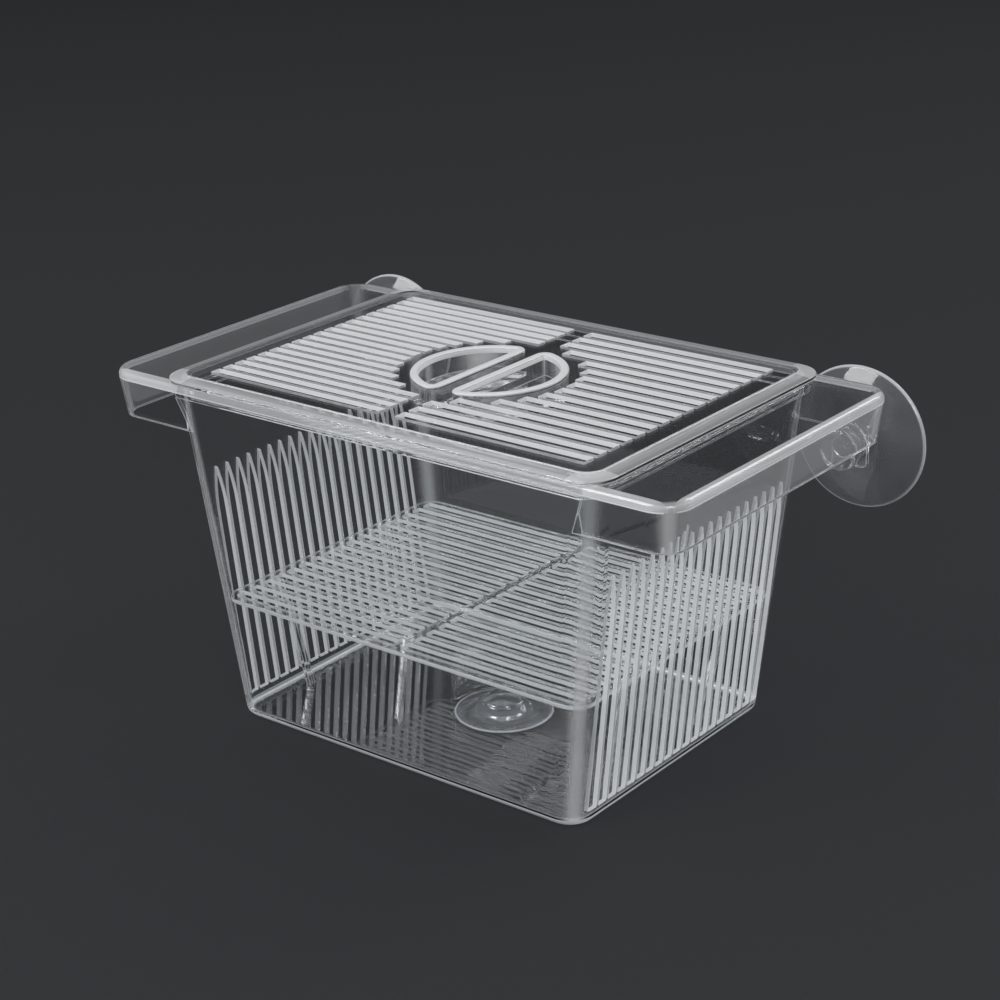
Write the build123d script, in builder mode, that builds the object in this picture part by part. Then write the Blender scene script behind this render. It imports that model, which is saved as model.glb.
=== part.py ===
from build123d import *

import os
from math import sqrt

# Fish breeding box that hangs inside an aquarium: a clear tub with slotted end walls and two hollow
# wings, a slotted lid, a slotted shelf on four legs, two suction cups hooked into the wings, and a
# small soft cup on the floor. Millimetres. The origin is the centre of the tub's underside, X runs
# along the box, the suction cups are on the +Y side, and Z is up.

# ---- Tub: a drafted shell, measured outside, without the rounding of its edges ----
tub_height = 104.9
tub_top_length = 151.4
tub_top_width = 106.8
tub_base_length = 126.8
tub_base_width = 95.2
tub_corner = 7.8
tub_base_round = 3.0
wall = 1.3
floor_thickness = 1.5

# ---- Rim: the flat plate round the mouth that runs out into a wing at each end ----
wing_reach = 24.3  # how far a wing stands out past the tub's end
rim_lip = 1.1  # how far the rim stands out past the tub's front and back
rim_corner = 8.6
rim_plate = 1.3
rim_edge_height = 2.7
rim_edge_round = 2.2
collar_height = 4.3
skirt_height = 14.5
skirt_draft = 1.76
skirt_end_at_collar = 3.4  # from the tub's end, at the collar, back to where the skirt's wall starts
skirt_end_at_foot = 6.2  # the same at the skirt's foot, so the wall starts on a slant

# ---- Slots of the end walls: pointed at the top, square at the foot ----
wall_slot_count = 19
wall_slot_width = 3.4
wall_slot_margin = 5.4  # from the side of the tub's base to the first slot
wall_slot_foot = 4.5
wall_slot_headroom = 14.9  # from the slots' points up to the skirt's foot
wall_slot_arch = 13.0

# ---- Lid ----
lid_play = 1.1  # between the tub's mouth and the lid's locating wall
lid_flange_reach = 4.5
lid_flange_edge = 0.95
lid_flange_rise = 0.55
lid_flange_corner = 8.8
lid_panel_step = 0.35
lid_plate = 1.3
lid_wall = 1.3
lid_wall_depth = 5.0
lid_edge_round = 0.4
lid_panel_round = 0.2

# ---- Slots of the lid: two panels with their own slot counts, either side of a solid band ----
lid_slot_end = 7.1  # from the panel's ends to the slots
lid_slot_margin = 6.2  # from the panel's sides to the first slot
lid_band = 6.4
left_slot_count = 19
left_slot_width = 3.4
right_slot_count = 16
right_slot_width = 4.1

# ---- Finger wells of the lid: two D shapes with a pinch bar between them ----
well_disc_radius = 26.9
well_radius = 22.5
well_bar = 4.9
well_wall = 2.2
well_corner = 3.2
well_depth = 7.3
well_floor = 1.3
well_bead_rise = 0.5
well_bead_round = 0.45

# ---- Divider shelf ----
divider_top = 38.0
divider_plate = 1.2
divider_play = 0.7
divider_edge_round = 0.35
divider_slot_count = 17
divider_slot_width = 3.2
divider_rib = 3.2
divider_margin = 3.1  # from the shelf's edges to the slots
leg_thickness = 1.8
leg_width = 2.6
leg_tip_scale = 0.8
leg_inset = 2.0
leg_spacing = 50.0
leg_lean_x = 7.9
leg_lean_y = 2.4
leg_round = 0.5

# ---- Suction cups ----
cup_radius = 21.0
cup_inset = 13.9  # from a wing's end to its cup's axis
cup_rim_gap = 5.7  # from the rim's back edge to the glass
cup_rim_edge = 0.7
cup_rim_land = 0.9  # flat sealing lip that meets the glass
cup_rise = 5.6
cup_hollow = 3.9
cup_hub_radius = 5.4
cup_neck_radius = 3.1
cup_neck_play = 0.3
cup_head_radius = 6.4
cup_head_length = 5.2
cup_head_round = 1.9
cup_head_dish = 0.5
cup_dish_radius = 4.4

# ---- Tabs of the wings, with the notches for the cups' necks ----
tab_arm = 3.6  # plastic each side of the notch
tab_reach = 5.9  # from the cup's axis down to the tab's foot
tab_corner = 1.8
notch_bridge = 0.8  # plastic between the notch and the skirt's foot

# ---- Small cup on the floor ----
floor_cup_x = 3.9
floor_cup_y = -2.7
floor_cup_radius = 14.8
floor_cup_edge = 0.6
floor_cup_height = 4.3
floor_cup_ring_radius = 6.2
floor_cup_ring_wall = 0.7
floor_cup_ring_lip = 0.6
floor_cup_well = 2.0
floor_cup_dome = 0.9
floor_cup_hollow = 1.0

os.makedirs("parts", exist_ok=True)

# ---- Levels and sizes worked out from the values above ----
wing_span = tub_top_length + 2 * wing_reach
rim_width = tub_top_width + 2 * rim_lip
collar_foot = tub_height - collar_height
skirt_foot = tub_height - skirt_height
skirt_top = tub_height - rim_edge_height
wall_slot_top = skirt_foot - wall_slot_headroom
notch_radius = cup_neck_radius + cup_neck_play
cup_offset = wing_span / 2 - cup_inset
cup_axis_height = skirt_foot - notch_bridge - notch_radius
cup_rim_y = rim_width / 2 + cup_rim_gap
tab_width = 2 * (notch_radius + tab_arm)
tab_foot = cup_axis_height - tab_reach
tab_outer_y = rim_width / 2 - skirt_draft


def tub_half(height):
    """Half length and half width of the tub's outside at a height."""
    share = height / tub_height
    length = tub_base_length + (tub_top_length - tub_base_length) * share
    width = tub_base_width + (tub_top_width - tub_base_width) * share
    return length / 2, width / 2


def inside_half(height, gap):
    """Half length and half width of what fits inside the tub at a height, with a gap all round."""
    half_length, half_width = tub_half(height)
    return half_length - wall - gap, half_width - wall - gap


def skirt_section(height, inset):
    """Section of the rim's drafted skirt at a height, or of its hollow where inset is the wall."""
    drop = inset + skirt_draft * (skirt_top - height) / (skirt_top - skirt_foot)
    return height, wing_span / 2 - drop, rim_width / 2 - drop, rim_corner - drop


def drafted(lower, upper, mode=Mode.ADD):
    """Straight-sided body between two rounded rectangles, each (height, half x, half y, corner)."""
    sections = []
    for height, half_x, half_y, corner in (lower, upper):
        with BuildSketch(Plane.XY.offset(height)) as outline:
            RectangleRounded(2 * half_x, 2 * half_y, corner)
        sections.append(outline.sketch.face())
    return loft(sections, ruled=True, mode=mode)


def slot_rows(count, width, half_field):
    """Place of each slot of a row of slots that fills a field centred on the box."""
    pitch = (2 * half_field - width) / (count - 1)
    return [(row - (count - 1) / 2) * pitch for row in range(count)]


def slot_panel(side, start, end, rows, width, disc_radius=0):
    """Slots of one half of a slotted plate, which run from a solid rib or disc out to the margin."""
    for y in rows:
        near = max(start, sqrt(max(disc_radius**2 - y**2, 0)))
        with Locations((side * (near + end) / 2, y)):
            Rectangle(end - near, width)


def well_outline(side, inset):
    """D shape of a finger well, the given distance in from its outside."""
    radius = well_radius - inset
    flat = well_bar / 2 + inset
    with BuildSketch() as outline:
        Circle(radius)
        with Locations((side * (flat - radius), 0)):
            Rectangle(2 * radius, 2 * radius, mode=Mode.SUBTRACT)
        fillet(outline.vertices(), well_corner - inset)
    return outline.sketch


# ---- Tub ----
with BuildPart() as tub_body:
    drafted((0, *tub_half(0), tub_corner), (tub_height, *tub_half(tub_height), tub_corner))
    fillet(tub_body.faces().sort_by(Axis.Z)[0].edges(), tub_base_round)

with BuildPart() as tub_cavity:
    drafted(
        (floor_thickness, *inside_half(floor_thickness, 0), tub_corner - wall),
        (tub_height, *inside_half(tub_height, 0), tub_corner - wall),
    )
    fillet(tub_cavity.faces().sort_by(Axis.Z)[0].edges(), tub_base_round - wall)

with BuildPart() as tub:
    # Rim plate with its rounded outer edge
    with BuildSketch(Plane.XY.offset(skirt_top)):
        RectangleRounded(wing_span, rim_width, rim_corner)
    extrude(amount=rim_edge_height)
    fillet(tub.faces().sort_by(Axis.Z)[-1].edges(), rim_edge_round)

    # Drafted skirt below it, cut away between the wings on a slant
    drafted(skirt_section(skirt_foot, 0), skirt_section(skirt_top, 0))
    slant_top = tub_half(collar_foot)[0] - skirt_end_at_collar
    slant_foot = tub_half(skirt_foot)[0] - skirt_end_at_foot
    with BuildSketch(Plane.XZ):
        with BuildLine():
            Polyline(
                (-slant_foot, skirt_foot),
                (slant_foot, skirt_foot),
                (slant_top, collar_foot),
                (-slant_top, collar_foot),
                close=True,
            )
        make_face()
    extrude(amount=rim_width, both=True, mode=Mode.SUBTRACT)

    # Hollow of the wings, open below
    drafted(
        skirt_section(skirt_foot, wall),
        skirt_section(tub_height - rim_plate, wall),
        mode=Mode.SUBTRACT,
    )

    # Stepped collar round the mouth, its front and back inside the rim's lips
    collar_half_width = skirt_section(collar_foot, 0)[2]
    with BuildSketch(Plane.XY.offset(collar_foot)):
        RectangleRounded(
            2 * (tub_half(tub_height)[0] + rim_lip), 2 * collar_half_width, tub_corner + rim_lip
        )
    extrude(amount=collar_height - rim_plate)

    # Shell of the tub
    add(tub_body.part)
    add(tub_cavity.part, mode=Mode.SUBTRACT)

    # Pointed slots through both end walls
    half_slot = wall_slot_width / 2
    spring = wall_slot_top - wall_slot_arch
    for y in slot_rows(wall_slot_count, wall_slot_width, tub_base_width / 2 - wall_slot_margin):
        with BuildSketch(Plane.YZ):
            with BuildLine():
                Polyline(
                    (y - half_slot, spring),
                    (y - half_slot, wall_slot_foot),
                    (y + half_slot, wall_slot_foot),
                    (y + half_slot, spring),
                )
                TangentArc((y + half_slot, spring), (y, wall_slot_top), tangent=(0, 1))
                TangentArc((y - half_slot, spring), (y, wall_slot_top), tangent=(0, 1))
            make_face()
    extrude(amount=tub_top_length / 2, both=True, mode=Mode.SUBTRACT)

    # Tabs below the back skirts, each with an open notch for a cup's neck
    for side in (-1, 1):
        with BuildSketch(Plane.XZ.offset(-tab_outer_y)) as tab_face:
            with Locations((side * cup_offset, (skirt_foot + tab_foot) / 2)):
                Rectangle(tab_width, skirt_foot - tab_foot)
            fillet(tab_face.vertices().group_by(Axis.Y)[0], tab_corner)
            with Locations((side * cup_offset, cup_axis_height)):
                Circle(notch_radius, mode=Mode.SUBTRACT)
            with Locations((side * cup_offset, (cup_axis_height + tab_foot) / 2)):
                Rectangle(2 * notch_radius, cup_axis_height - tab_foot, mode=Mode.SUBTRACT)
        extrude(amount=wall)

tub.part.label = "tub"
export_step(tub.part, "parts/tub.step")

# ---- Lid ----
panel_half = inside_half(tub_height, lid_play)
flange_half = (panel_half[0] + lid_flange_reach, panel_half[1] + lid_flange_reach)
panel_corner = tub_corner - wall - lid_play
flange_edge_top = tub_height + lid_flange_edge
panel_base = flange_edge_top + lid_flange_rise
panel_top = panel_base + lid_panel_step
plate_foot = panel_top - lid_plate
lid_foot = tub_height - lid_wall_depth
well_foot = panel_top - well_depth
bead_top = panel_top + well_bead_rise

with BuildPart() as lid:
    # Flange that rests on the rim and slopes up to the panel
    with BuildSketch(Plane.XY.offset(tub_height)):
        RectangleRounded(2 * flange_half[0], 2 * flange_half[1], lid_flange_corner)
    extrude(amount=lid_flange_edge)
    drafted(
        (flange_edge_top, *flange_half, lid_flange_corner),
        (panel_base, *panel_half, panel_corner),
    )
    outer_edges = lid.edges().filter_by_position(Axis.Z, tub_height + lid_flange_edge / 2, flange_edge_top)
    fillet(outer_edges.group_by(Axis.Z)[-1], lid_edge_round)

    # Raised panel
    with BuildSketch(Plane.XY.offset(panel_base)):
        RectangleRounded(2 * panel_half[0], 2 * panel_half[1], panel_corner)
    extrude(amount=lid_panel_step)
    fillet(lid.faces().sort_by(Axis.Z)[-1].edges(), lid_panel_round)

    # Locating wall inside the tub's mouth, and the hollow inside it
    drafted(
        (lid_foot, *inside_half(lid_foot, lid_play), panel_corner),
        (tub_height, *panel_half, panel_corner),
    )
    drafted(
        (lid_foot, *inside_half(lid_foot, lid_play + lid_wall), panel_corner - lid_wall),
        (plate_foot, *inside_half(plate_foot, lid_play + lid_wall), panel_corner - lid_wall),
        mode=Mode.SUBTRACT,
    )

    # Slots of the two panels
    slot_end = panel_half[0] - lid_slot_end
    slot_side = panel_half[1] - lid_slot_margin
    with BuildSketch(Plane.XY.offset(panel_top)):
        rows = slot_rows(left_slot_count, left_slot_width, slot_side)
        slot_panel(-1, lid_band / 2, slot_end, rows, left_slot_width, well_disc_radius)
        rows = slot_rows(right_slot_count, right_slot_width, slot_side)
        slot_panel(1, lid_band / 2, slot_end, rows, right_slot_width, well_disc_radius)
    extrude(amount=-lid_plate, mode=Mode.SUBTRACT)

    # Finger wells with a raised bead round each
    with BuildSketch(Plane.XY.offset(well_foot)):
        add(well_outline(-1, 0))
        add(well_outline(1, 0))
    extrude(amount=bead_top - well_foot)
    with BuildSketch(Plane.XY.offset(bead_top)):
        add(well_outline(-1, well_wall))
        add(well_outline(1, well_wall))
    extrude(amount=-(bead_top - well_foot - well_floor), mode=Mode.SUBTRACT)
    fillet(lid.edges().group_by(Axis.Z)[-1], well_bead_round)

lid.part.label = "lid"
export_step(lid.part, "parts/lid.step")

# ---- Divider: a slotted shelf that stands on four legs ----
shelf_half = inside_half(divider_top - divider_plate, divider_play)
leg_top = (shelf_half[0] - leg_inset, leg_spacing / 2)
leg_tip = (leg_top[0] - leg_lean_x, leg_top[1] - leg_lean_y)

with BuildPart() as divider:
    with BuildSketch(Plane.XY.offset(divider_top - divider_plate)):
        RectangleRounded(2 * shelf_half[0], 2 * shelf_half[1], tub_corner - wall - divider_play)
    extrude(amount=divider_plate)
    fillet(divider.faces().sort_by(Axis.Z)[-1].edges(), divider_edge_round)
    with BuildSketch(Plane.XY.offset(divider_top)):
        rows = slot_rows(divider_slot_count, divider_slot_width, shelf_half[1] - divider_margin)
        for side in (-1, 1):
            slot_panel(side, divider_rib / 2, shelf_half[0] - divider_margin, rows, divider_slot_width)
    extrude(amount=-divider_plate, mode=Mode.SUBTRACT)

    for side_x in (-1, 1):
        for side_y in (-1, 1):
            with BuildSketch(Plane.XY.offset(divider_top - divider_plate)):
                with Locations((side_x * leg_top[0], side_y * leg_top[1])):
                    Rectangle(leg_thickness, leg_width)
            with BuildSketch(Plane.XY.offset(floor_thickness)):
                with Locations((side_x * leg_tip[0], side_y * leg_tip[1])):
                    Rectangle(leg_tip_scale * leg_thickness, leg_tip_scale * leg_width)
            loft(ruled=True)
    fillet(divider.faces().group_by(Axis.Z)[0].edges(), leg_round)

divider.part.label = "divider"
export_step(divider.part, "parts/divider.step")


# ---- Suction cups, hooked by the neck into the notches of the wings ----
def suction_cup(x):
    """Soft cup whose axis is along Y; its rim faces the glass and its head is inside the wing."""
    axis = Axis((x, cup_rim_y, cup_axis_height), (0, 1, 0))
    half_plane = Plane(origin=axis.position, x_dir=(1, 0, 0), z_dir=(0, 0, 1))
    hub_face = tab_outer_y + cup_neck_play - cup_rim_y
    head_back = tab_outer_y - wall - cup_neck_play - cup_rim_y
    head_face = head_back - cup_head_length
    with BuildPart() as cup:
        # Mushroom head with a shallow dish in its face
        with BuildSketch(half_plane) as head:
            with Locations((0, head_face)):
                Rectangle(cup_head_radius, cup_head_length, align=(Align.MIN, Align.MIN))
            fillet(head.vertices().group_by(Axis.X)[-1], cup_head_round)
            with BuildLine():
                Polyline(
                    (0, head_face + cup_head_dish), (0, head_face), (cup_dish_radius, head_face)
                )
                TangentArc(
                    (0, head_face + cup_head_dish), (cup_dish_radius, head_face), tangent=(1, 0)
                )
            make_face(mode=Mode.SUBTRACT)
        revolve(axis=axis)

        # Neck, hub and disc
        with BuildSketch(half_plane):
            with BuildLine():
                TangentArc((0, -cup_hollow), (cup_radius - cup_rim_land, 0), tangent=(1, 0))
                Polyline((cup_radius - cup_rim_land, 0), (cup_radius, 0), (cup_radius, -cup_rim_edge))
                TangentArc((cup_hub_radius, -cup_rise), (cup_radius, -cup_rim_edge), tangent=(1, 0))
                Polyline(
                    (cup_hub_radius, -cup_rise),
                    (cup_hub_radius, hub_face),
                    (cup_neck_radius, hub_face),
                    (cup_neck_radius, head_back),
                    (0, head_back),
                    (0, -cup_hollow),
                )
            make_face()
        revolve(axis=axis)
    return cup.part


for name, x in (("suction_cup_left", -cup_offset), ("suction_cup_right", cup_offset)):
    cup = suction_cup(x)
    cup.label = name
    export_step(cup, f"parts/{name}.step")

# ---- Floor cup: a soft flared foot with a ring round a domed well ----
with BuildPart() as floor_cup:
    ring_inside = floor_cup_ring_radius - floor_cup_ring_wall
    well_edge = floor_cup_height - floor_cup_well
    flare_top = floor_cup_height - floor_cup_ring_lip
    half_plane = Plane(origin=(floor_cup_x, floor_cup_y, floor_thickness), x_dir=(1, 0, 0), z_dir=(0, -1, 0))
    with BuildSketch(half_plane):
        with BuildLine():
            TangentArc((0, floor_cup_hollow), (floor_cup_radius - floor_cup_edge, 0), tangent=(1, 0))
            Polyline(
                (floor_cup_radius - floor_cup_edge, 0),
                (floor_cup_radius, 0),
                (floor_cup_radius, floor_cup_edge),
            )
            TangentArc(
                (floor_cup_radius, floor_cup_edge), (floor_cup_ring_radius, flare_top), tangent=(-1, 0)
            )
            Polyline(
                (floor_cup_ring_radius, flare_top),
                (floor_cup_ring_radius, floor_cup_height),
                (ring_inside, floor_cup_height),
                (ring_inside, well_edge),
            )
            TangentArc((0, well_edge + floor_cup_dome), (ring_inside, well_edge), tangent=(1, 0))
            Line((0, well_edge + floor_cup_dome), (0, floor_cup_hollow))
        make_face()
    revolve(axis=Axis((floor_cup_x, floor_cup_y, 0), (0, 0, 1)))

floor_cup.part.label = "floor_cup"
export_step(floor_cup.part, "parts/floor_cup.step")
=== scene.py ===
import math

import bmesh
import bpy
from mathutils import Matrix, Vector


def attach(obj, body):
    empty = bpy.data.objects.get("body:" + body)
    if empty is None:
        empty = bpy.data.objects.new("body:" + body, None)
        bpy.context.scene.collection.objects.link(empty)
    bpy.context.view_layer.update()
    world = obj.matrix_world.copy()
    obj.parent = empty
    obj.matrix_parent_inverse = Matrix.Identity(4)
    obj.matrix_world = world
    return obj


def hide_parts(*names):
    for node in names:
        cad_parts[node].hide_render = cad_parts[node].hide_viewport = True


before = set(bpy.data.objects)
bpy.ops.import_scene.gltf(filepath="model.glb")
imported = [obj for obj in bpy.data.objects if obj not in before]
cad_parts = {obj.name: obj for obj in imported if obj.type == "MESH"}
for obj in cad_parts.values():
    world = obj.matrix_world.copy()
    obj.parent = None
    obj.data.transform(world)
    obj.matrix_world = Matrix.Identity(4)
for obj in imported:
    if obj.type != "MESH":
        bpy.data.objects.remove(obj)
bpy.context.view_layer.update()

scene = bpy.context.scene
scene.view_settings.view_transform = "Standard"
scene.cycles.max_bounces = 32
scene.cycles.transmission_bounces = 28
scene.cycles.transparent_max_bounces = 32
scene.cycles.glossy_bounces = 6
scene.cycles.diffuse_bounces = 3
scene.cycles.caustics_refractive = False
scene.cycles.caustics_reflective = False


# ---- Camera ----
# It looks at the box from its front right and a little from above, as the photograph does. The
# view was fitted to the outlines of the lid, rim, shelf and foot.
yaw, pitch, roll = math.radians(38.90), math.radians(21.43), math.radians(-1.78)
camera_place = Vector((0.3906, -0.4811, 0.3104))
ahead = Vector(
    (-math.sin(yaw) * math.cos(pitch), math.cos(yaw) * math.cos(pitch), -math.sin(pitch))
)
level = Vector((math.cos(yaw), math.sin(yaw), 0))
upward = level.cross(ahead)
right = level * math.cos(roll) + upward * math.sin(roll)
top = upward * math.cos(roll) - level * math.sin(roll)
lens = bpy.data.cameras.new("photo_camera")
lens.sensor_width = 36
lens.lens = 82.63
lens.clip_start = 0.02
camera = bpy.data.objects.new("photo_camera", lens)
camera.matrix_world = Matrix(
    (
        (right.x, top.x, -ahead.x, camera_place.x),
        (right.y, top.y, -ahead.y, camera_place.y),
        (right.z, top.z, -ahead.z, camera_place.z),
        (0, 0, 0, 1),
    )
)
scene.collection.objects.link(camera)
scene.camera = camera


# ---- Floor and light ----
# A plain dark floor, against which clear plastic shows its pale edges, a large soft box over the
# front left, a smaller one on the right and a third behind the box that lights its edges. The
# surround lights matt surfaces evenly, but looks as dark as the floor.
def put(tree, kind, **settings):
    """New node of a tree, with its settings."""
    node = tree.nodes.new(kind)
    for key, value in settings.items():
        setattr(node, key, value)
    return node


def maths(tree, operation, *values, clamp=False):
    """Math node on sockets or numbers; returns its output."""
    node = put(tree, "ShaderNodeMath", operation=operation, use_clamp=clamp)
    for socket, value in zip(node.inputs, values):
        if isinstance(value, (int, float)):
            socket.default_value = value
        else:
            tree.links.new(value, socket)
    return node.outputs[0]


def blend(tree, amount, first, second):
    """Mix Shader of two shaders, by a socket or a number; returns its output."""
    node = put(tree, "ShaderNodeMixShader")
    if isinstance(amount, float):
        node.inputs[0].default_value = amount
    else:
        tree.links.new(amount, node.inputs[0])
    tree.links.new(first, node.inputs[1])
    tree.links.new(second, node.inputs[2])
    return node.outputs[0]


def lamp(name, place, width, power):
    """Soft square lamp that looks at the middle of the box."""
    light = bpy.data.lights.new(name, "AREA")
    light.shape = "SQUARE"
    light.size = width
    light.energy = power
    ob = bpy.data.objects.new(name, light)
    ob.location = place
    ob.rotation_euler = (box_middle - Vector(place)).to_track_quat("-Z", "Y").to_euler()
    scene.collection.objects.link(ob)


box_middle = Vector((0, 0, 0.05))
lamp("key_light", (-1.0, -1.7, 1.7), 1.3, 50.0)
lamp("fill_light", (1.6, -1.0, 1.1), 0.9, 20.0)
lamp("edge_light", (0.7, 1.6, 1.5), 0.9, 18.0)

dark_grey, even_grey = (0.024, 0.025, 0.027, 1), (0.44, 0.45, 0.46, 1)
floor_reach = 6
floor_corners = [
    (x * floor_reach, y * floor_reach, 0) for x, y in ((-1, -1), (1, -1), (1, 1), (-1, 1))
]
floor_mesh = bpy.data.meshes.new("floor")
floor_mesh.from_pydata(floor_corners, [], [(0, 1, 2, 3)])
floor = bpy.data.objects.new("floor", floor_mesh)
floor.location.z = -0.0004
scene.collection.objects.link(floor)
floor_paint = bpy.data.materials.new("floor_paint")
floor_paint.use_nodes = True
paint = floor_paint.node_tree.nodes["Principled BSDF"]
paint.inputs["Base Color"].default_value = dark_grey
paint.inputs["Roughness"].default_value = 0.9
paint.inputs["Specular IOR Level"].default_value = 0.1
floor_mesh.materials.append(floor_paint)

surround = bpy.data.worlds.new("surround")
surround.use_nodes = True
sky = surround.node_tree
shown, lighting = sky.nodes["Background"], put(sky, "ShaderNodeBackground")
shown.inputs["Color"].default_value = dark_grey
lighting.inputs["Color"].default_value = even_grey
ray = put(sky, "ShaderNodeLightPath")
mirrored = maths(sky, "MAXIMUM", ray.outputs["Is Glossy Ray"], ray.outputs["Is Transmission Ray"])
looks_dark = maths(sky, "MAXIMUM", ray.outputs["Is Camera Ray"], mirrored)
sky_shader = blend(sky, looks_dark, lighting.outputs[0], shown.outputs[0])
sky.links.new(sky_shader, sky.nodes["World Output"].inputs["Surface"])
scene.world = surround


# ---- Tub ----
# Injection-moulded clear styrene, so clear that little but its edges and rounds shows. The light
# they gather from the whole wall is painted on as white highlights, and so are the slots' sides.
def new_group(name, inputs, outputs):
    """Empty shader node group with its named sockets, and its input and output nodes."""
    group = bpy.data.node_groups.new(name, "ShaderNodeTree")
    for socket, kind in inputs:
        group.interface.new_socket(socket, in_out="INPUT", socket_type="NodeSocket" + kind)
    for socket, kind in outputs:
        group.interface.new_socket(socket, in_out="OUTPUT", socket_type="NodeSocket" + kind)
    return group, put(group, "NodeGroupInput"), put(group, "NodeGroupOutput")


def vector_maths(tree, operation, *values):
    """Vector Math node on sockets or vectors; returns the node."""
    node = put(tree, "ShaderNodeVectorMath", operation=operation)
    for socket, value in zip(node.inputs, values):
        if isinstance(value, tuple):
            socket.default_value = value
        else:
            tree.links.new(value, socket)
    return node


def share(tree, mask, amount):
    """A mask at part of its strength."""
    return maths(tree, "MULTIPLY", mask, amount)


def strongest(tree, *masks):
    """Largest of several masks or numbers."""
    result = masks[0]
    for mask in masks[1:]:
        result = maths(tree, "MAXIMUM", result, mask)
    return result


def widest(tree, vector):
    """Largest of a vector's three numbers."""
    parts = put(tree, "ShaderNodeSeparateXYZ")
    tree.links.new(vector, parts.inputs[0])
    return strongest(tree, *parts.outputs)


def ramp(tree, value, start, end):
    """Smooth step from 0 at start to 1 at end."""
    node = put(tree, "ShaderNodeMapRange", interpolation_type="SMOOTHSTEP")
    low, high, first, last = (start, end, 0, 1) if start < end else (end, start, 1, 0)
    limits = {"From Min": low, "From Max": high, "To Min": first, "To Max": last}
    for name, number in limits.items():
        node.inputs[name].default_value = number
    tree.links.new(value, node.inputs["Value"])
    return node.outputs["Result"]


def make_edge_mask():
    """Group: 1 on a sharp moulded edge, falling to 0 away from it."""
    group, given, result = new_group(
        "moulded_edge", [("Radius", "Float"), ("Gain", "Float")], [("Edge", "Float")]
    )
    bevel = put(group, "ShaderNodeBevel", samples=4)
    group.links.new(given.outputs["Radius"], bevel.inputs["Radius"])
    surface = put(group, "ShaderNodeNewGeometry")
    dot = vector_maths(group, "DOT_PRODUCT", bevel.outputs[0], surface.outputs["Normal"])
    turned = maths(group, "SUBTRACT", 1.0, dot.outputs["Value"])
    edge = maths(group, "MULTIPLY", turned, given.outputs["Gain"], clamp=True)
    group.links.new(edge, result.inputs["Edge"])
    return group


def make_round_mask():
    """Group: how far a surface is turned away from the box's own directions, as on its rounds."""
    group, _, result = new_group("moulded_round", [], [("Round", "Float")])
    place = put(group, "ShaderNodeTexCoord")
    turned = widest(group, vector_maths(group, "ABSOLUTE", place.outputs["Normal"]).outputs[0])
    group.links.new(ramp(group, turned, 0.990, 0.74), result.inputs["Round"])
    return group


def make_inside_mask():
    """Group: 1 inside a box, given by its centre and half size."""
    group, given, result = new_group(
        "inside_box", [("Centre", "Vector"), ("Half", "Vector")], [("Inside", "Float")]
    )
    place = put(group, "ShaderNodeTexCoord")
    away = vector_maths(group, "SUBTRACT", place.outputs["Object"], given.outputs["Centre"])
    away = vector_maths(group, "ABSOLUTE", away.outputs[0])
    past = vector_maths(group, "SUBTRACT", away.outputs[0], given.outputs["Half"])
    within = maths(group, "LESS_THAN", widest(group, past.outputs[0]), 0.0)
    group.links.new(within, result.inputs["Inside"])
    return group


def noise(tree, place, scale, detail):
    """Noise at a place; returns its value."""
    node = put(tree, "ShaderNodeTexNoise")
    node.inputs["Scale"].default_value = scale
    node.inputs["Detail"].default_value = detail
    tree.links.new(place, node.inputs["Vector"])
    return node.outputs["Fac"]


def make_flow_marks():
    """Group: slow waves that a moulded wall keeps, and the faint rub marks of handling."""
    group, given, result = new_group(
        "flow_and_rub",
        [("Waves", "Float"), ("Rubbing", "Float")],
        [("Roughness", "Float"), ("Height", "Float")],
    )
    place = put(group, "ShaderNodeTexCoord")
    drawn = put(group, "ShaderNodeMapping")
    drawn.inputs["Rotation"].default_value = (0.5, 0.2, 0.7)
    drawn.inputs["Scale"].default_value = (1.0, 0.04, 0.06)
    group.links.new(place.outputs["Object"], drawn.inputs["Vector"])
    waves = noise(group, place.outputs["Object"], 38, 1.0)
    patches = noise(group, place.outputs["Object"], 22, 3.0)
    hairs = noise(group, drawn.outputs[0], 900, 2.0)
    height = maths(group, "MULTIPLY", waves, given.outputs["Waves"])
    group.links.new(height, result.inputs["Height"])
    rubbed = maths(group, "MULTIPLY", ramp(group, patches, 0.5, 0.75), ramp(group, hairs, 0.5, 0.7))
    roughness = maths(group, "MULTIPLY_ADD", rubbed, given.outputs["Rubbing"], polish)
    group.links.new(roughness, result.inputs["Roughness"])
    return group


polish = 0.012  # roughness where nothing has rubbed
edge_mask, round_mask = make_edge_mask(), make_round_mask()
inside_mask, flow_marks = make_inside_mask(), make_flow_marks()


def inside(tree, centre, half):
    """Mask of the part of a piece that lies in a box."""
    node = put(tree, "ShaderNodeGroup", node_tree=inside_mask)
    node.inputs["Centre"].default_value = centre
    node.inputs["Half"].default_value = half
    return node.outputs["Inside"]


def border(tree, centre, outer, inner):
    """Mask of what lies in the outer box but not in the inner one."""
    outside = maths(tree, "SUBTRACT", 1.0, inside(tree, centre, inner))
    return maths(tree, "MULTIPLY", inside(tree, centre, outer), outside)


def slot_sides(tree, centre, half, plate_normal):
    """Mask of the sides of the slots in a plate: faces in a box that don't lie along the plate."""
    place = put(tree, "ShaderNodeTexCoord")
    along = vector_maths(tree, "DOT_PRODUCT", place.outputs["Normal"], plate_normal)
    across = maths(tree, "LESS_THAN", maths(tree, "ABSOLUTE", along.outputs["Value"]), 0.5)
    return maths(tree, "MULTIPLY", across, inside(tree, centre, half))


def bare_material(name):
    """New material without nodes, and its node tree."""
    material = bpy.data.materials.new(name)
    material.use_nodes = True
    material.node_tree.nodes.clear()
    return material, material.node_tree


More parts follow.
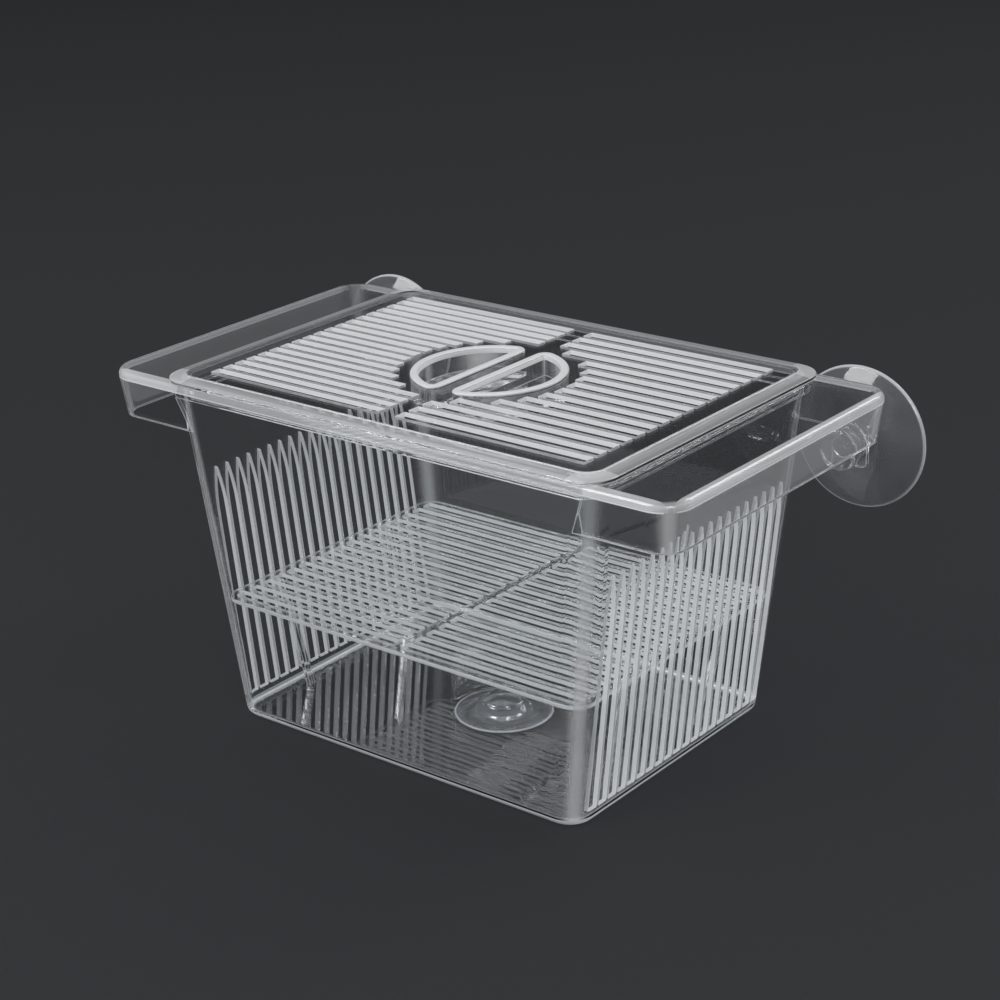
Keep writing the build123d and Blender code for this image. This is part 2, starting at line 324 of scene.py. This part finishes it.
def moulded_surface(tree, rubbing, strength, depth):
    """Roughness and normal of a moulded surface with its waves and rub marks."""
    marks = put(tree, "ShaderNodeGroup", node_tree=flow_marks)
    marks.inputs["Waves"].default_value = 1.0
    marks.inputs["Rubbing"].default_value = rubbing
    bump = put(tree, "ShaderNodeBump")
    bump.inputs["Strength"].default_value = strength
    bump.inputs["Distance"].default_value = depth
    tree.links.new(marks.outputs["Height"], bump.inputs["Height"])
    return marks.outputs["Roughness"], bump.outputs[0]


def matt_shader(tree, colour):
    """Plain Principled shader of a slightly glossy white; returns its output."""
    node = put(tree, "ShaderNodeBsdfPrincipled")
    node.inputs["Base Color"].default_value = colour
    node.inputs["Roughness"].default_value = 0.3
    return node.outputs[0]


def light_shadow(tree, body, tint):
    """Puts a shader on the output. Lamps shine through it, so a clear wall's shadow is light."""
    path = put(tree, "ShaderNodeLightPath")
    through = put(tree, "ShaderNodeBsdfTransparent")
    through.inputs["Color"].default_value = tint
    lit = blend(tree, path.outputs["Is Shadow Ray"], body, through.outputs[0])
    tree.links.new(lit, put(tree, "ShaderNodeOutputMaterial").inputs["Surface"])


# Painted highlights: reach and gain of the edge mask, share on rounds, loss on a wall's far side,
# their white and the share of it that glows from within
edge_reach, edge_gain = 0.00045, 8.0
round_share = 0.42
far_side_loss = 0.3  # how much less white the far side of a wall looks from within
highlight_white = (0.95, 0.965, 0.975, 1)
glow_share = 0.45


def clear_plastic(name, painted_highlights):
    """Clear plastic with painted highlights: white on its edges, its rounds and where the piece's
    own mask function says.
    """
    material, tree = bare_material(name)
    # The painted highlight mask: white on sharp edges, on rounds and on the piece's own places,
    # less on a wall's far side
    edge = put(tree, "ShaderNodeGroup", node_tree=edge_mask)
    edge.inputs["Radius"].default_value = edge_reach
    edge.inputs["Gain"].default_value = edge_gain
    turned = put(tree, "ShaderNodeGroup", node_tree=round_mask).outputs["Round"]
    pale = strongest(tree, share(tree, turned, round_share), painted_highlights(tree, turned))
    pale = maths(tree, "MAXIMUM", pale, edge.outputs["Edge"], clamp=True)
    surface = put(tree, "ShaderNodeNewGeometry")
    behind = share(tree, surface.outputs["Backfacing"], far_side_loss)
    pale = maths(tree, "MULTIPLY", pale, maths(tree, "SUBTRACT", 1.0, behind))

    # A thin wall bends the view little, hence the low IOR. The coat has the plastic's reflections
    glass = put(tree, "ShaderNodeBsdfPrincipled")
    glass.inputs["Base Color"].default_value = (0.975, 0.985, 0.99, 1)
    glass.inputs["IOR"].default_value = 1.12
    glass.inputs["Coat Weight"].default_value = 1.0
    glass.inputs["Coat IOR"].default_value = 1.55
    glass.inputs["Transmission Weight"].default_value = 1.0
    roughness, normal = moulded_surface(tree, rubbing=0.10, strength=0.35, depth=0.0001)
    tree.links.new(roughness, glass.inputs["Roughness"])
    tree.links.new(normal, glass.inputs["Normal"])

    # The painted highlights also glow with the light that falls on them from within, by a
    # translucent shader mixed into their white matt paint
    glow = put(tree, "ShaderNodeBsdfTranslucent")
    glow.inputs["Color"].default_value = highlight_white
    highlight_paint = blend(tree, glow_share, matt_shader(tree, highlight_white), glow.outputs[0])
    light_shadow(tree, blend(tree, pale, glass.outputs[0], highlight_paint), (0.93, 0.94, 0.95, 1))
    return material


def wear(node, material):
    """Gives a CAD node a material."""
    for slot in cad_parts[node].material_slots:
        slot.material = material


def tub_painted_highlights(tree, turned):
    """Painted highlights: the sides of the wall slots, the rim's border with a line along it, the
    foot and skirt ends.
    """
    sides = slot_sides(tree, (0, 0, 0.0400), (0.080, 0.0428, 0.0365), (1, 0, 0))
    rim_edge = border(tree, (0, 0, 0.10355), (0.1001, 0.0546, 0.0014), (0.0979, 0.0524, 0.0014))
    rim_line = border(tree, (0, 0, 0.1022), (0.1001, 0.0546, 0.00022), (0.0985, 0.0530, 0.00022))
    base = maths(tree, "MULTIPLY", turned, inside(tree, (0, 0, 0), (0.080, 0.060, 0.0030)))
    foot = slot_sides(tree, (0, 0, 0.0012), (0.080, 0.060, 0.0011), (0, 0, 1))
    skirt_end = border(tree, (0, 0, 0.0962), (0.1001, 0.0500, 0.0058), (0.0972, 0.0500, 0.0058))
    return strongest(
        tree,
        share(tree, sides, 0.8),
        share(tree, rim_edge, 0.52),
        share(tree, base, 0.95),
        share(tree, foot, 0.9),
        share(tree, skirt_end, 0.20),
        rim_line,
    )


wear("tub", clear_plastic("clear_tub", tub_painted_highlights))


# ---- Lid ----
# One moulding of the same clear styrene. White painted highlights lie on the sides of its slots,
# on the sloping border between the panel and the flange's edge with its corners, and on the beads
# of the finger wells.
def lid_painted_highlights(tree, turned):
    """Painted highlights: the sides of the slots, beads round the finger wells, and the sloping
    border with its corners.
    """
    slots = slot_sides(tree, (0, 0, 0.1061), (0.068, 0.046, 0.00064), (0, 0, 1))
    beads = inside(tree, (0, 0, 0.10715), (0.0235, 0.0235, 0.00030))
    slope = border(tree, (0, 0, 0.10615), (0.0779, 0.0557, 0.00033), (0.0731, 0.0508, 0.002))
    past_ends = border(tree, (0, 0, 0.10615), (0.0779, 0.0557, 0.00040), (0.0680, 0.0700, 0.002))
    past_sides = border(tree, (0, 0, 0.106), (0.08, 0.06, 0.002), (0.08, 0.0457, 0.002))
    corners = maths(tree, "MULTIPLY", past_ends, past_sides)
    return strongest(
        tree,
        share(tree, slots, 0.85),
        share(tree, beads, 0.95),
        share(tree, corners, 0.65),
        share(tree, slope, 0.38),
    )


wear("lid", clear_plastic("clear_lid", lid_painted_highlights))


# ---- Divider ----
# A clear slotted shelf on four leaning legs, moulded in one. It drops into the tub and stands on
# its floor. The sides of its slots carry a white painted highlight.
def divider_painted_highlights(tree, turned):
    """Painted highlight on the sides of the shelf's slots."""
    sides = slot_sides(tree, (0, 0, 0.0374), (0.070, 0.050, 0.00064), (0, 0, 1))
    return share(tree, sides, 0.95)


wear("divider", clear_plastic("clear_divider", divider_painted_highlights))


# ---- Suction cups ----
# Soft clear vinyl, cast in one: a thin flared disc with a fine lip, a hub, a neck that is pushed
# into the notch of a wing's tab, and a mushroom head behind it that keeps the cup hooked.
def arc_between(start, end, heading, steps):
    """Points of the arc to end that leaves start in the heading; start itself is left out."""
    start, end, heading = Vector(start), Vector(end), Vector(heading).normalized()
    chord = end - start
    side = Vector((-heading.y, heading.x))
    radius = chord.length_squared / (2 * chord.dot(side))
    centre = start + side * radius
    first = start - centre
    turn = 2 * math.atan2(heading.cross(chord), heading.dot(chord))
    return [
        centre + Matrix.Rotation(turn * step / steps, 2) @ first for step in range(1, steps + 1)
    ]


weld = 1e-6  # points nearer than this are one


def make_lathe():
    """Node tree that turns a half profile into a closed soft part."""
    tree = bpy.data.node_groups.new("turned_soft_part", "GeometryNodeTree")
    for name, kind in (
        ("Profile", "Geometry"),
        ("Turning Radius", "Float"),
        ("Facets", "Int"),
        ("Tilt", "Vector"),
        ("Place", "Vector"),
        ("Material", "Material"),
    ):
        tree.interface.new_socket(name, in_out="INPUT", socket_type="NodeSocket" + kind)
    tree.interface.new_socket("Part", in_out="OUTPUT", socket_type="NodeSocketGeometry")
    given, result = put(tree, "NodeGroupInput"), put(tree, "NodeGroupOutput")
    half = put(tree, "GeometryNodeMeshToCurve")
    circle = put(tree, "GeometryNodeCurvePrimitiveCircle")
    swept = put(tree, "GeometryNodeCurveToMesh")
    closed = put(tree, "GeometryNodeMergeByDistance")
    closed.inputs["Distance"].default_value = weld
    placed = put(tree, "GeometryNodeTransform")
    smooth = put(tree, "GeometryNodeSetShadeSmooth")
    whole = put(tree, "GeometryNodeRealizeInstances")
    worn = put(tree, "GeometryNodeSetMaterial")
    for source, target in (
        (given.outputs["Profile"], half.inputs["Mesh"]),
        (given.outputs["Turning Radius"], circle.inputs["Radius"]),
        (given.outputs["Facets"], circle.inputs["Resolution"]),
        (circle.outputs[0], swept.inputs["Curve"]),
        (half.outputs[0], swept.inputs["Profile Curve"]),
        (swept.outputs[0], closed.inputs["Geometry"]),
        (closed.outputs[0], placed.inputs["Geometry"]),
        (given.outputs["Tilt"], placed.inputs["Rotation"]),
        (given.outputs["Place"], placed.inputs["Translation"]),
        (placed.outputs[0], smooth.inputs["Geometry"]),
        (smooth.outputs[0], whole.inputs["Geometry"]),
        (whole.outputs[0], worn.inputs["Geometry"]),
        (given.outputs["Material"], worn.inputs["Material"]),
        (worn.outputs[0], result.inputs["Part"]),
    ):
        tree.links.new(source, target)
    return tree


lathe = make_lathe()


def turned_part(name, profile, facets, tilt, place, material):
    """Part turned from half its outline: points (radius, height) in millimetres, pole to pole."""
    reach = max(point[0] for point in profile) / 1000
    half = bpy.data.meshes.new(name + "_profile")
    half.from_pydata(
        [(radius / 1000 - reach, -height / 1000, 0) for radius, height in profile],
        [(k, k + 1) for k in range(len(profile) - 1)],
        [],
    )
    source = bpy.data.objects.new(name + "_profile", half)
    scene.collection.objects.link(source)
    turning = source.modifiers.new("turning", "NODES")
    turning.node_group = lathe
    given = {
        item.name: item.identifier
        for item in lathe.interface.items_tree
        if item.in_out == "INPUT"
    }
    for key, value in (
        ("Turning Radius", reach),
        ("Facets", facets),
        ("Tilt", tilt),
        ("Place", place),
        ("Material", material),
    ):
        turning[given[key]] = value
    seen = source.evaluated_get(bpy.context.evaluated_depsgraph_get())
    mesh = bpy.data.meshes.new_from_object(seen)
    bpy.data.objects.remove(source)
    shell = bmesh.new()
    shell.from_mesh(mesh)
    bmesh.ops.remove_doubles(shell, verts=shell.verts, dist=weld)
    bmesh.ops.recalc_face_normals(shell, faces=shell.faces)
    shell.to_mesh(mesh)
    shell.free()
    mesh.name = name
    part = bpy.data.objects.new(name, mesh)
    scene.collection.objects.link(part)
    return part


def soft_vinyl(name, tint, rim_axis, rim_place, rim_radius):
    """Soft clear vinyl: a little cloudy, with a painted highlight on its lip."""
    material, tree = bare_material(name)
    place = put(tree, "ShaderNodeTexCoord").outputs["Object"]
    away = vector_maths(tree, "SUBTRACT", place, rim_place)
    across = tuple(1.0 - abs(part) for part in rim_axis)
    flat = vector_maths(tree, "MULTIPLY", away.outputs[0], across)
    radius = vector_maths(tree, "LENGTH", flat.outputs[0]).outputs["Value"]
    # Grey matt paint over the clear vinyl: its own faint cloudiness (haze) and a painted highlight
    # along the lip (lip)
    lip = ramp(tree, radius, rim_radius - 0.0009, rim_radius - 0.0002)
    haze = maths(tree, "MULTIPLY_ADD", noise(tree, place, 70, 3), 0.07, 0.01)
    pale = maths(tree, "MAXIMUM", haze, share(tree, lip, 0.45), clamp=True)

    clear = put(tree, "ShaderNodeBsdfPrincipled")
    clear.inputs["Base Color"].default_value = (*tint, 1)
    clear.inputs["IOR"].default_value = 1.5
    clear.inputs["Transmission Weight"].default_value = 1.0
    roughness, normal = moulded_surface(tree, rubbing=0.2, strength=0.3, depth=0.0002)
    tree.links.new(maths(tree, "ADD", roughness, 0.06), clear.inputs["Roughness"])
    tree.links.new(normal, clear.inputs["Normal"])
    body = blend(tree, pale, clear.outputs[0], matt_shader(tree, (0.78, 0.80, 0.82, 1)))
    light_shadow(tree, body, (0.72, 0.74, 0.76, 1))
    return material


# The hollow and the lip that seals on the glass
cup_profile = [(0, -3.9), *arc_between((0, -3.9), (20.1, 0), (1, 0), 28)]
cup_profile += [(20.75, 0), (21, -0.2), (21, -0.5)]
# The disc's flared back, then the hub
cup_back = arc_between((5.4, -5.6), (21, -0.7), (1, 0), 26)
cup_profile += [tuple(point) for point in reversed(cup_back)]
cup_profile += [(5.45, -5.65), (5.4, -5.8), (5.4, -6.8)]
cup_profile += [
    (5.4 - 0.36 * (1 - math.cos(a)), -6.8 - 0.36 * math.sin(a)) for a in (0.5, 1.05, 1.57)
]
# The neck, which sits in the notch
cup_profile += [(3.5, -7.16), (3.22, -7.28), (3.1, -7.5), (3.1, -8.72), (3.22, -8.94), (3.5, -9.06)]
# The mushroom head with its dished end
cup_profile += [(4.5, -9.06), *arc_between((4.5, -9.06), (6.4, -10.96), (1, 0), 8)]
cup_profile += [(6.4, -11.66), (6.4, -12.36)]
cup_profile += arc_between((6.4, -12.36), (4.5, -14.26), (0, -1), 8)
head_dish = arc_between((0, -13.76), (4.5, -14.26), (1, 0), 9)
cup_profile += [tuple(point) for point in reversed(head_dish)][1:]
cup_profile += [(0, -13.76)]
along_y, along_z = (0, 1, 0), (0, 0, 1)
towards_back = (math.radians(-90), 0, 0)
for side, x in (("left", -0.0861), ("right", 0.0861)):
    axis_place = (x, 0.0602, 0.0862)
    vinyl = soft_vinyl("vinyl_" + side, (0.86, 0.875, 0.89), along_y, axis_place, 0.021)
    cup = turned_part("soft_cup_" + side, cup_profile, 128, towards_back, axis_place, vinyl)
    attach(cup, "cup_" + side)
    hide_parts("suction_cup_" + side)


# ---- Floor cup ----
# A small flared cup of the same soft vinyl that stands on the tub's floor, with a thin ring
# round a domed well in its middle. Its wide lip seals on the floor.
# The underside and the lip
foot_profile = [(0, 1.0), *arc_between((0, 1.0), (14.2, 0), (1, 0), 18)]
foot_profile += [(14.6, 0), (14.8, 0.15), (14.8, 0.4)]
# The flared cone, up to the ring and down into the well
foot_profile += arc_between((14.8, 0.6), (6.2, 3.7), (-1, 0), 18)
foot_profile += [(6.2, 3.95), (6.1, 4.2), (5.85, 4.3), (5.6, 4.2), (5.5, 3.95), (5.5, 2.7)]
foot_profile += [(5.45, 2.35)]
well_dome = arc_between((0, 3.2), (5.4, 2.3), (1, 0), 9)
foot_profile += [tuple(point) for point in reversed(well_dome)][1:]
foot_profile += [(0, 3.2)]
foot_place = (0.0039, -0.0027, 0.0015)
foot_vinyl = soft_vinyl("vinyl_floor", (0.80, 0.82, 0.84), along_z, foot_place, 0.0148)
floor_cup = turned_part("soft_floor_cup", foot_profile, 112, (0, 0, 0), foot_place, foot_vinyl)
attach(floor_cup, "tub")
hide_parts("floor_cup")
